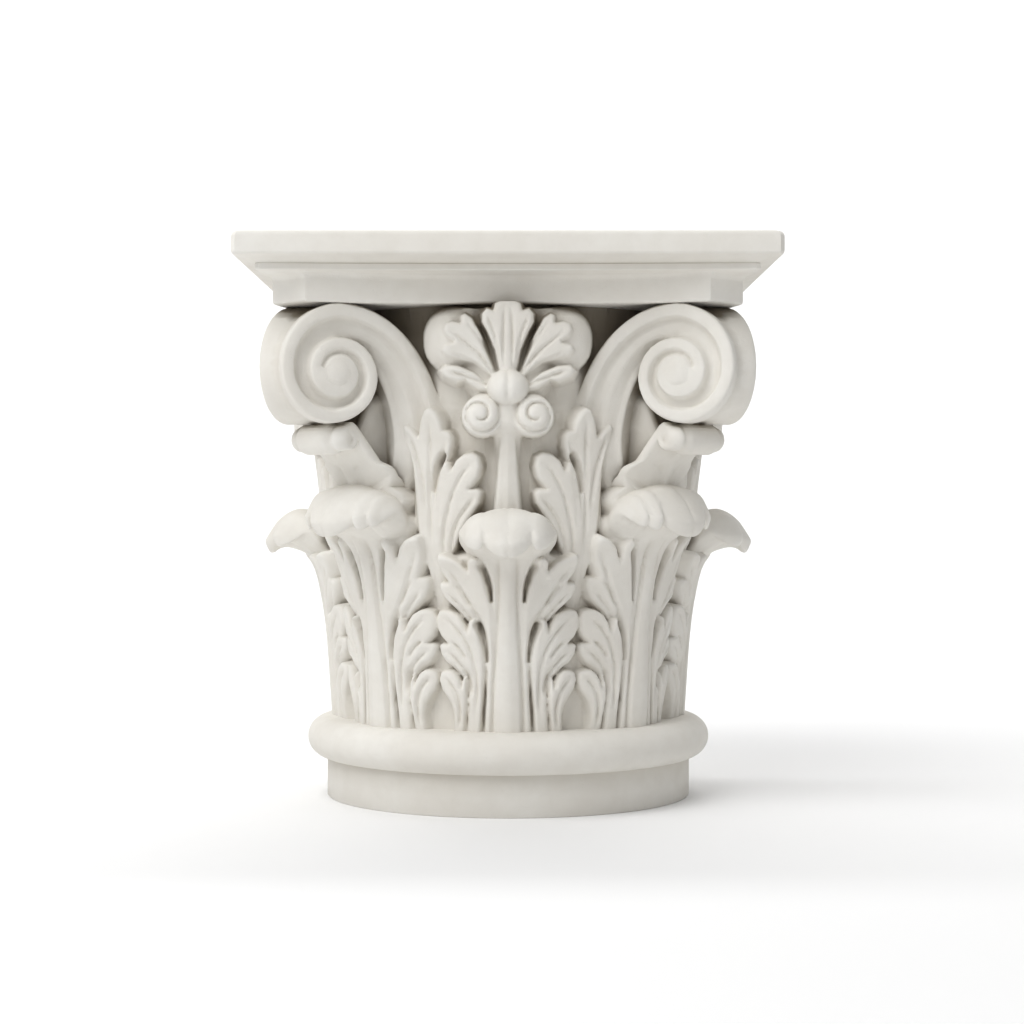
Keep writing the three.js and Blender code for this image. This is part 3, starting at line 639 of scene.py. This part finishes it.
# A mesh through the places where the field changes sign, one vertex for each cell that it crosses.
def surfaceNet(field, low, step):
    inside = field < 0
    size = np.array(field.shape) - 1
    corners = [(i, j, k) for i in (0, 1) for j in (0, 1) for k in (0, 1)]
    count = np.zeros(size, dtype=np.int8)
    for corner in corners:
        window = tuple(slice(c, c + n) for c, n in zip(corner, size))
        count += inside[window]
    cells = np.argwhere((count > 0) & (count < 8))
    number = np.full(tuple(size), -1, dtype=np.int64)
    number[tuple(cells.T)] = np.arange(len(cells))
    total = np.zeros((len(cells), 3))
    hits = np.zeros(len(cells))
    for first in corners:
        for axis in range(3):
            if first[axis]:
                continue
            second = tuple(c + (k == axis) for k, c in enumerate(first))
            a = field[tuple((cells + first).T)]
            b = field[tuple((cells + second).T)]
            crosses = (a < 0) != (b < 0)
            t = np.where(crosses, a / np.where(crosses, a - b, 1.0), 0.0)
            point = np.array(first)[None, :] + t[:, None] * np.eye(3)[axis][None, :]
            total += point * crosses[:, None]
            hits += crosses
    vertices = low + (cells + total / hits[:, None]) * step
    quads = []
    for axis in range(3):
        one, two = [k for k in range(3) if k != axis]
        grid = [slice(1, -1)] * 3
        grid[axis] = slice(0, -1)
        ahead = list(grid)
        ahead[axis] = slice(1, None)
        a = inside[tuple(grid)]
        b = inside[tuple(ahead)]
        places = np.argwhere(a != b) + np.array([0 if k == axis else 1 for k in range(3)])
        leaving = inside[tuple(places.T)]
        ring = []
        for i, j in ((0, 0), (1, 0), (1, 1), (0, 1)):
            shifted = places.copy()
            shifted[:, one] -= i
            shifted[:, two] -= j
            ring.append(number[tuple(shifted.T)])
        quad = np.column_stack(ring)
        flip = leaving if axis != 1 else ~leaving
        quads.append(np.where(flip[:, None], quad[:, ::-1], quad))
    faces = np.vstack(quads)
    return vertices, faces[(faces >= 0).all(axis=1)]


def newMesh(name, vertices, faces):
    mesh = bpy.data.meshes.new(name)
    mesh.from_pydata([tuple(v) for v in vertices], [], [tuple(int(i) for i in f) for f in faces])
    mesh.validate()
    piece = bpy.data.objects.new(name, mesh)
    bpy.context.scene.collection.objects.link(piece)
    return piece


def applyModifiers(piece):
    graph = bpy.context.evaluated_depsgraph_get()
    mesh = bpy.data.meshes.new_from_object(piece.evaluated_get(graph))
    piece.modifiers.clear()
    piece.data = mesh


def carvedEighth(step):
    low = np.array([-3 * step, 0.0, bell["foot"] - 7.0])
    xs = np.arange(low[0], 178, step)
    ds = np.arange(low[1], 194, step)
    zs = np.arange(low[2], bell["top"] + 2.2, step)
    field = np.full((xs.size, ds.size, zs.size), 4.0, dtype=np.float32)
    x, d = np.meshgrid(xs, ds, indexing="ij")
    ring = np.hypot(x, d)
    wedge = d > x - 4 * step
    coreRadius = 118
    core = wedge & (ring < coreRadius)
    field[core, :] = -4.0
    field[core & (d < 3 * step), :] = 4.0
    columns = np.argwhere(wedge & (ring >= coreRadius))
    columnX = xs[columns[:, 0]][:, None]
    columnD = ds[columns[:, 1]][:, None]
    level = np.broadcast_to(zs[None, :], (len(columns), zs.size))
    values = carvingField(columnX + 0 * level, columnD + 0 * level, level)
    field[columns[:, 0], columns[:, 1], :] = np.clip(values, -4, 4)
    field[:, :, 0] = 4.0
    field[:, :, -1] = 4.0
    vertices, faces = surfaceNet(field, low, step)
    print("net", len(vertices), len(faces))
    vertices = np.column_stack([vertices[:, 0], -vertices[:, 1], vertices[:, 2]])
    return newMesh("eighth", vertices * 0.001, faces)


# Abacus: outlines in plan, each a square with hollow sides and cut corners, stacked one on another.
def planOutline(width, hollow, cornerCut, level, sideSteps=14):
    half = width / 2
    reach = half - cornerCut
    points = []
    for side in range(4):
        turn = side * math.pi / 2
        for i in range(sideSteps + 1):
            along = -1 + 2 * i / sideSteps
            x, y = reach * along, -(half - hollow * (1 - along * along))
            turnedX = x * math.cos(turn) - y * math.sin(turn)
            points.append((turnedX, x * math.sin(turn) + y * math.cos(turn), level))
    return points


def stackedMesh(name, layers):
    count = len(layers[0])
    vertices = [point for layer in layers for point in layer]
    topRow = (len(layers) - 1) * count
    faces = [tuple(reversed(range(count))), tuple(range(topRow, topRow + count))]
    for layer in range(len(layers) - 1):
        for i in range(count):
            a, b = layer * count + i, layer * count + (i + 1) % count
            faces.append((a, b, b + count, a + count))
    return newMesh(name, np.array(vertices) * 0.001, faces)


def abacusMesh():
    a = abacus
    fasciaTop = a["foot"] + a["fascia"]
    cavettoTop = fasciaTop + a["cavetto"]
    filletTop = cavettoTop + a["fillet"]
    slabFoot = filletTop + a["bevel"]
    slabTop = slabFoot + a["slab"]
    layers = []
    for inset, up in ((2.2, 0.0), (0.8, 0.5), (0.15, 1.4), (0.0, 2.6)):
        width = a["fasciaWidth"] - 2 * inset
        layers.append(planOutline(width, a["hollow"], a["cornerCut"], a["foot"] + up))
    reach = (a["filletWidth"] - a["fasciaWidth"]) / 2
    for i in range(9):
        share = i / 8
        flare = 1 - math.sqrt(1 - share * share)
        width = a["fasciaWidth"] + 1.3 * reach * flare
        level = fasciaTop + share * a["cavetto"] * 0.92
        layers.append(planOutline(width, a["hollow"], a["cornerCut"], level))
    for up in (0.0, 0.6, a["fillet"] - 0.5, a["fillet"]):
        inset = 0.5 if up in (0.0, a["fillet"]) else 0.0
        width = a["filletWidth"] - 2 * inset
        layers.append(planOutline(width, a["hollow"] / 3, a["slabCut"], cavettoTop + up))
    for i in range(1, 6):
        share = i / 5
        width = lerp(a["filletWidth"], a["width"] - 5.0, 1 - math.cos(share * math.pi / 2))
        level = filletTop + share * a["bevel"]
        layers.append(planOutline(width, a["hollow"] / 3 * (1 - share), a["slabCut"], level))
    for inset, up in ((2.0, 0.1), (0.7, 0.7), (0.1, 1.9), (0.0, 3.0)):
        layers.append(planOutline(a["width"] - 2 * inset, 0, a["slabCut"], slabFoot + up))
    for i in range(7):
        turn = math.pi / 2 * i / 6
        inset = a["edge"] * (1 - math.cos(turn))
        level = slabTop - a["edge"] * (1 - math.sin(turn))
        layers.append(planOutline(a["width"] - 2 * inset, 0, a["slabCut"], level))
    return stackedMesh("abacus", layers)


def neckMesh():
    steps = 160
    ring = neck["radius"] + neck["torusOut"] - neck["torus"] / 2
    profile = [(0, 0), (neck["radius"] - 0.8, 0), (neck["radius"], 0.8)]
    profile.append((neck["radius"], neck["height"] + 0.3))
    for i in range(21):
        turn = -math.pi / 2 + math.pi * i / 20
        out = ring + neck["torus"] / 2 * math.cos(turn)
        up = neck["height"] + neck["torus"] / 2 * (1 + math.sin(turn))
        if out > neck["radius"] + 0.2 or turn > 0:
            profile.append((out, up))
    profile.append((0, bell["foot"]))
    vertices = [(0, 0, 0)]
    faces = []
    angles = [k * 2 * math.pi / steps for k in range(steps)]
    for out, up in profile[1:-1]:
        vertices += [(out * math.cos(angle), out * math.sin(angle), up) for angle in angles]
    vertices.append((0, 0, bell["foot"]))
    top = len(vertices) - 1
    rings = len(profile) - 2
    for k in range(steps):
        n = (k + 1) % steps
        faces.append((0, 1 + n, 1 + k))
        for row in range(rings - 1):
            a, b = 1 + row * steps + k, 1 + row * steps + n
            faces.append((a, b, b + steps, a + steps))
        faces.append((top, 1 + (rings - 1) * steps + k, 1 + (rings - 1) * steps + n))
    return newMesh("neck", np.array(vertices) * 0.001, faces)


# The eighth is cut exactly at its two planes, so that its mirrored and turned copies meet.
def trimEighth(piece):
    bm = bmesh.new()
    bm.from_mesh(piece.data)
    plane = {"dist": 1e-6, "plane_co": (0, 0, 0), "clear_outer": True}
    for normal in ((-1, 0, 0), (1, 1, 0)):
        everything = bm.verts[:] + bm.edges[:] + bm.faces[:]
        bmesh.ops.bisect_plane(bm, geom=everything, plane_no=normal, **plane)
    bmesh.ops.remove_doubles(bm, verts=bm.verts[:], dist=2e-5)
    bm.to_mesh(piece.data)
    bm.free()


# Geometry Nodes: the eighth is mirrored, set round in four, welded and given its plaster.
def repeatGroup(material):
    group = bpy.data.node_groups.new("wholeCapital", "GeometryNodeTree")
    group.is_modifier = True
    socket = group.interface.new_socket
    socket("Geometry", in_out="INPUT", socket_type="NodeSocketGeometry")
    socket("Faces", in_out="INPUT", socket_type="NodeSocketInt")
    socket("Weld", in_out="INPUT", socket_type="NodeSocketFloat")
    socket("Geometry", in_out="OUTPUT", socket_type="NodeSocketGeometry")
    nodes, links = group.nodes, group.links
    entry = nodes.new("NodeGroupInput")
    result = nodes.new("NodeGroupOutput")
    mirror = nodes.new("GeometryNodeTransform")
    mirror.inputs["Scale"].default_value = (-1, 1, 1)
    flip = nodes.new("GeometryNodeFlipFaces")
    half = nodes.new("GeometryNodeJoinGeometry")
    points = nodes.new("GeometryNodePoints")
    stand = nodes.new("GeometryNodeInstanceOnPoints")
    index = nodes.new("GeometryNodeInputIndex")
    turn = nodes.new("ShaderNodeMath")
    turn.operation = "MULTIPLY"
    turn.inputs[1].default_value = math.pi / 2
    spin = nodes.new("ShaderNodeCombineXYZ")
    realize = nodes.new("GeometryNodeRealizeInstances")
    weld = nodes.new("GeometryNodeMergeByDistance")
    finish = nodes.new("GeometryNodeSetMaterial")
    finish.inputs["Material"].default_value = material
    for source, output, target, entrance in (
        (entry, "Geometry", mirror, "Geometry"),
        (mirror, "Geometry", flip, "Mesh"),
        (flip, "Mesh", half, "Geometry"),
        (entry, "Geometry", half, "Geometry"),
        (entry, "Faces", points, "Count"),
        (points, "Points", stand, "Points"),
        (half, "Geometry", stand, "Instance"),
        (index, "Index", turn, 0),
        (turn, "Value", spin, "Z"),
        (spin, "Vector", stand, "Rotation"),
        (stand, "Instances", realize, "Geometry"),
        (realize, "Geometry", weld, "Geometry"),
        (entry, "Weld", weld, "Distance"),
        (weld, "Geometry", finish, "Geometry"),
        (finish, "Geometry", result, "Geometry"),
    ):
        links.new(source.outputs[output], target.inputs[entrance])
    return group


# How shut in each vertex is, from 0 in the open to 1, by rays over its half of the sky, from which
# the plaster paints shade. The lowest ring has a limit, where the carving stands on the neck.
def storeHollowsForPaintedShade(piece, rays):
    mesh = piece.data
    tree = BVHTree.FromObject(piece, bpy.context.evaluated_depsgraph_get())
    golden = math.pi * (3 - math.sqrt(5))
    sky = []
    for i in range(rays):
        up = math.sqrt((i + 0.5) / rays)
        flat = math.sqrt(1 - up * up)
        sky.append(Vector((flat * math.cos(i * golden), flat * math.sin(i * golden), up)))
    shut = np.zeros(len(mesh.vertices))
    reach, lift, footLimit = 0.09, 0.0006, 0.45
    for i, vertex in enumerate(mesh.vertices):
        normal = vertex.normal
        turn = normal.to_track_quat("Z", "Y")
        start = vertex.co + normal * lift
        total = 0.0
        for ray in sky:
            hit = tree.ray_cast(start, turn @ ray, reach)
            if hit[0] is not None:
                total += 1 - (hit[3] / reach) ** 2
        shut[i] = total / rays
        if vertex.co.z < bell["foot"] / 1000 + 0.0008:
            shut[i] = min(shut[i], footLimit)
    edges = np.zeros(2 * len(mesh.edges), dtype=np.int64)
    mesh.edges.foreach_get("vertices", edges)
    a, b = edges[::2], edges[1::2]
    count = np.bincount(a, minlength=len(shut)) + np.bincount(b, minlength=len(shut)) + 1
    for _ in range(2):
        total = shut + np.bincount(a, shut[b], len(shut)) + np.bincount(b, shut[a], len(shut))
        shut = total / count
    # The plaster reads this attribute to paint shade into its colour.
    attribute = mesh.attributes.new("hollow", "FLOAT", "POINT")
    attribute.data.foreach_set("value", shut.astype(np.float32))


# Cells in millimetres, the triangles of one eighth, the weld in metres and the sharp angles in
# degrees.
capitalMesh = {
    "cell": 1.0,
    "coarseCell": 1.8,
    "triangles": 24300,
    "rays": 16,
    "coarseRays": 6,
    "faces": 4,
    "weld": 0.00004,
    "sharpCarving": 50,
    "sharpNeck": 60,
    "sharpAbacus": 16,
}


def wholeCapital(material):
    made = capitalMesh
    carving = carvedEighth(made["cell"])
    lighten = carving.modifiers.new("lighten", "DECIMATE")
    lighten.ratio = min(1.0, made["triangles"] / (2 * len(carving.data.polygons)))
    applyModifiers(carving)
    trimEighth(carving)
    print("eighth", len(carving.data.polygons))
    repeat = carving.modifiers.new("repeat", "NODES")
    repeat.node_group = repeatGroup(material)
    wishes = {"Faces": made["faces"], "Weld": made["weld"]}
    for item in repeat.node_group.interface.items_tree:
        if item.name in wishes and item.in_out == "INPUT":
            repeat[item.identifier] = wishes[item.name]
    applyModifiers(carving)
    together = bmesh.new()
    parts = [(carving, made["sharpCarving"]), (neckMesh(), made["sharpNeck"])]
    parts.append((abacusMesh(), made["sharpAbacus"]))
    for other, angle in parts:
        for face in other.data.polygons:
            face.use_smooth = True
        other.data.set_sharp_from_angle(angle=math.radians(angle))
        together.from_mesh(other.data)
        if other is not carving:
            bpy.data.objects.remove(other)
    together.to_mesh(carving.data)
    together.free()
    carving.data.validate()
    carving.name = carving.data.name = "capital_carved"
    carving.data.materials.clear()
    carving.data.materials.append(material)
    print("shadeInHollows")
    # Occlusion stored for the painted shade in the plaster's colour.
    storeHollowsForPaintedShade(carving, made["rays"])
    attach(carving, "root")
    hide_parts("corinthian_capital")
    print("capital", len(carving.data.polygons), "faces")


plasterLook = {
    "shaded": (0.76, 0.732, 0.676),
    "light": (0.81, 0.79, 0.74),
    "blotch": (0.70, 0.67, 0.61),
    "worn": (0.86, 0.85, 0.82),
    # Painted shade in creases and hollow places.
    "hollowShade": (0.44, 0.395, 0.32),
    # Painted shade in the most shut-in places.
    "pocketShade": (0.20, 0.165, 0.12),
    # Painted shadow in the recess under the abacus.
    "recess": (0.17, 0.14, 0.10),
    # The fourth input sets how strong the painted shade in creases and hollow places is.
    "inputs": {"Mottle Scale": 14.0, "Grain Scale": 900.0, "Wear": 0.6, "Painted Shade": 0.6},
    "bumpStrength": 0.35,
    "bumpDistance": 0.0009,
}


# Plaster: a shared node group for the mottled colour, painted shade in creases, hollow places and
# under the abacus, and paler worn edges.
def plasterGroup():
    group = bpy.data.node_groups.new("plasterLook", "ShaderNodeTree")
    socket = group.interface.new_socket
    for name, value in plasterLook["inputs"].items():
        socket(name, in_out="INPUT", socket_type="NodeSocketFloat").default_value = value
    socket("Base Color", in_out="OUTPUT", socket_type="NodeSocketColor")
    socket("Roughness", in_out="OUTPUT", socket_type="NodeSocketFloat")
    socket("Bump Height", in_out="OUTPUT", socket_type="NodeSocketFloat")
    nodes, links = group.nodes, group.links
    entry = nodes.new("NodeGroupInput")
    result = nodes.new("NodeGroupOutput")
    place = nodes.new("ShaderNodeTexCoord")

    def noise(scaleFrom, detail, scale=None, roughness=0.55):
        node = nodes.new("ShaderNodeTexNoise")
        node.inputs["Detail"].default_value = detail
        node.inputs["Roughness"].default_value = roughness
        links.new(place.outputs["Object"], node.inputs["Vector"])
        if scaleFrom:
            links.new(entry.outputs[scaleFrom], node.inputs["Scale"])
        else:
            node.inputs["Scale"].default_value = scale
        return node.outputs["Fac"]

    def mapped(value, low, high, to=(0, 1)):
        node = nodes.new("ShaderNodeMapRange")
        node.clamp = True
        node.inputs["From Min"].default_value = low
        node.inputs["From Max"].default_value = high
        node.inputs["To Min"].default_value = to[0]
        node.inputs["To Max"].default_value = to[1]
        links.new(value, node.inputs["Value"])
        return node.outputs["Result"]

    def maths(operation, a, b):
        node = nodes.new("ShaderNodeMath")
        node.operation = operation
        for i, value in enumerate((a, b)):
            if isinstance(value, float):
                node.inputs[i].default_value = value
            else:
                links.new(value, node.inputs[i])
        return node.outputs["Value"]

    def mixed(factor, a, b):
        node = nodes.new("ShaderNodeMix")
        node.data_type = "RGBA"
        links.new(factor, node.inputs[0])
        for i, value in ((6, a), (7, b)):
            if isinstance(value, tuple):
                node.inputs[i].default_value = (*value, 1)
            else:
                links.new(value, node.inputs[i])
        return node.outputs[2]

    shape = nodes.new("ShaderNodeNewGeometry")
    pointy = shape.outputs["Pointiness"]
    edges = maths("MULTIPLY", mapped(pointy, 0.52, 0.62), entry.outputs["Wear"])
    # Painted shade in concave creases, where the pointiness is low.
    creaseShadeMask = mapped(pointy, 0.492, 0.42)
    # The stored occlusion, read back for the painted shade.
    shut = nodes.new("ShaderNodeAttribute")
    shut.attribute_name = "hollow"
    # Painted shade in hollow places, from the stored occlusion.
    deepShadeMask = mapped(shut.outputs["Fac"], 0.38, 0.9)
    heightAt = nodes.new("ShaderNodeSeparateXYZ")
    links.new(place.outputs["Object"], heightAt.inputs["Vector"])
    # Painted shadow under the abacus: shut-in places high on the bell are darkened.
    high = mapped(heightAt.outputs["Z"], 0.30, 0.345)
    recess = maths("MULTIPLY", high, mapped(shut.outputs["Fac"], 0.38, 0.62))
    # Painted shade in the most shut-in places.
    pocketShadeMask = maths("MULTIPLY", mapped(shut.outputs["Fac"], 0.6, 0.86), entry.outputs["Painted Shade"])
    # Painted shade in creases and hollow places together.
    shadeInHollows = maths("MULTIPLY", maths("MAXIMUM", creaseShadeMask, deepShadeMask), entry.outputs["Painted Shade"])
    mottle = mapped(noise("Mottle Scale", 4.0), 0.35, 0.68)
    blotch = mapped(noise(None, 3.0, 70.0), 0.4, 0.72)
    colour = mixed(mottle, plasterLook["shaded"], plasterLook["light"])
    # Blotch and worn edges are the plaster's own colour; the last three layers are painted shade.
    layers = [(blotch, 0.35, "blotch"), (edges, 0.8, "worn"), (shadeInHollows, 0.8, "hollowShade")]
    layers += [(pocketShadeMask, 1.6, "pocketShade"), (recess, 0.85, "recess")]
    for mask, strength, name in layers:
        colour = mixed(maths("MULTIPLY", mask, strength), colour, plasterLook[name])
    links.new(colour, result.inputs["Base Color"])
    grain = noise("Grain Scale", 2.0)
    roughness = maths("ADD", mapped(mottle, 0, 1, (0.86, 0.76)), maths("MULTIPLY", grain, 0.08))
    links.new(roughness, result.inputs["Roughness"])
    pits = mapped(noise(None, 2.0, 420.0), 0.62, 0.74, (0, -1))
    brushed = noise(None, 5.0, 38.0, 0.6)
    height = maths("ADD", maths("MULTIPLY", grain, 0.25), maths("MULTIPLY", pits, 0.35))
    links.new(maths("ADD", height, maths("MULTIPLY", brushed, 0.9)), result.inputs["Bump Height"])
    return group


def plasterMaterial():
    material = bpy.data.materials.new("plaster")
    material.use_nodes = True
    nodes, links = material.node_tree.nodes, material.node_tree.links
    surface = nodes["Principled BSDF"]
    surface.inputs["Specular IOR Level"].default_value = 0.3
    look = nodes.new("ShaderNodeGroup")
    look.node_tree = plasterGroup()
    bump = nodes.new("ShaderNodeBump")
    bump.inputs["Strength"].default_value = plasterLook["bumpStrength"]
    bump.inputs["Distance"].default_value = plasterLook["bumpDistance"]
    links.new(look.outputs["Base Color"], surface.inputs["Base Color"])
    links.new(look.outputs["Roughness"], surface.inputs["Roughness"])
    links.new(look.outputs["Bump Height"], bump.inputs["Height"])
    links.new(bump.outputs["Normal"], surface.inputs["Normal"])
    return material


print("material")
plaster = plasterMaterial()
print("carving")
wholeCapital(plaster)


def plainMaterial(name, colour, roughness):
    material = bpy.data.materials.new(name)
    material.use_nodes = True
    surface = material.node_tree.nodes["Principled BSDF"]
    surface.inputs["Base Color"].default_value = (*colour, 1)
    surface.inputs["Roughness"].default_value = roughness
    surface.inputs["Specular IOR Level"].default_value = 0.2
    return material


# Floor and backdrop in one sweep.
print("studio")
sweep, sweepStart = 0.8, 2.2
profile = [(-3.0, 0.0), (sweepStart, 0.0)]
for t in np.linspace(0.15, math.pi / 2, 10):
    profile.append((sweepStart + sweep * math.sin(t), sweep - sweep * math.cos(t)))
profile.append((3.0, 4.0))
floorVertices = [(side * 5.0, y, z) for y, z in profile for side in (-1, 1)]
floorFaces = [(2 * i, 2 * i + 1, 2 * i + 3, 2 * i + 2) for i in range(len(profile) - 1)]
floor = newMesh("floor", floorVertices, floorFaces)
for face in floor.data.polygons:
    face.use_smooth = True
floor.data.materials.append(plainMaterial("floorPaper", (0.92, 0.92, 0.92), 0.9))

world = bpy.data.worlds.new("studio")
bpy.context.scene.world = world
world.use_nodes = True
world.node_tree.nodes["Background"].inputs["Color"].default_value = (1, 1, 1, 1)
world.node_tree.nodes["Background"].inputs["Strength"].default_value = 0.37


def areaLight(name, place, target, size, power):
    data = bpy.data.lights.new(name, "AREA")
    data.shape = "RECTANGLE"
    data.size, data.size_y = size
    data.energy = power
    light = bpy.data.objects.new(name, data)
    light.location = place
    light.rotation_euler = (Vector(target) - Vector(place)).to_track_quat("-Z", "Y").to_euler()
    bpy.context.scene.collection.objects.link(light)


areaLight("key", place=(-1.25, -1.6, 2.3), target=(0, 0, 0.2), size=(2.2, 2.2), power=57)
areaLight("backdropLight", place=(0, 1.2, 3.0), target=(0, 2.6, 0.6), size=(4.0, 1.0), power=70)

lens = bpy.data.cameras.new("view")
lens.lens = 71.1
lens.sensor_width = 36
camera = bpy.data.objects.new("view", lens)
camera.location = (0.0029, -1.5745, 0.2175)
camera.rotation_euler = (math.pi / 2, 0, 0)
bpy.context.scene.collection.objects.link(camera)
bpy.context.scene.camera = camera
bpy.context.scene.view_settings.view_transform = "Standard"
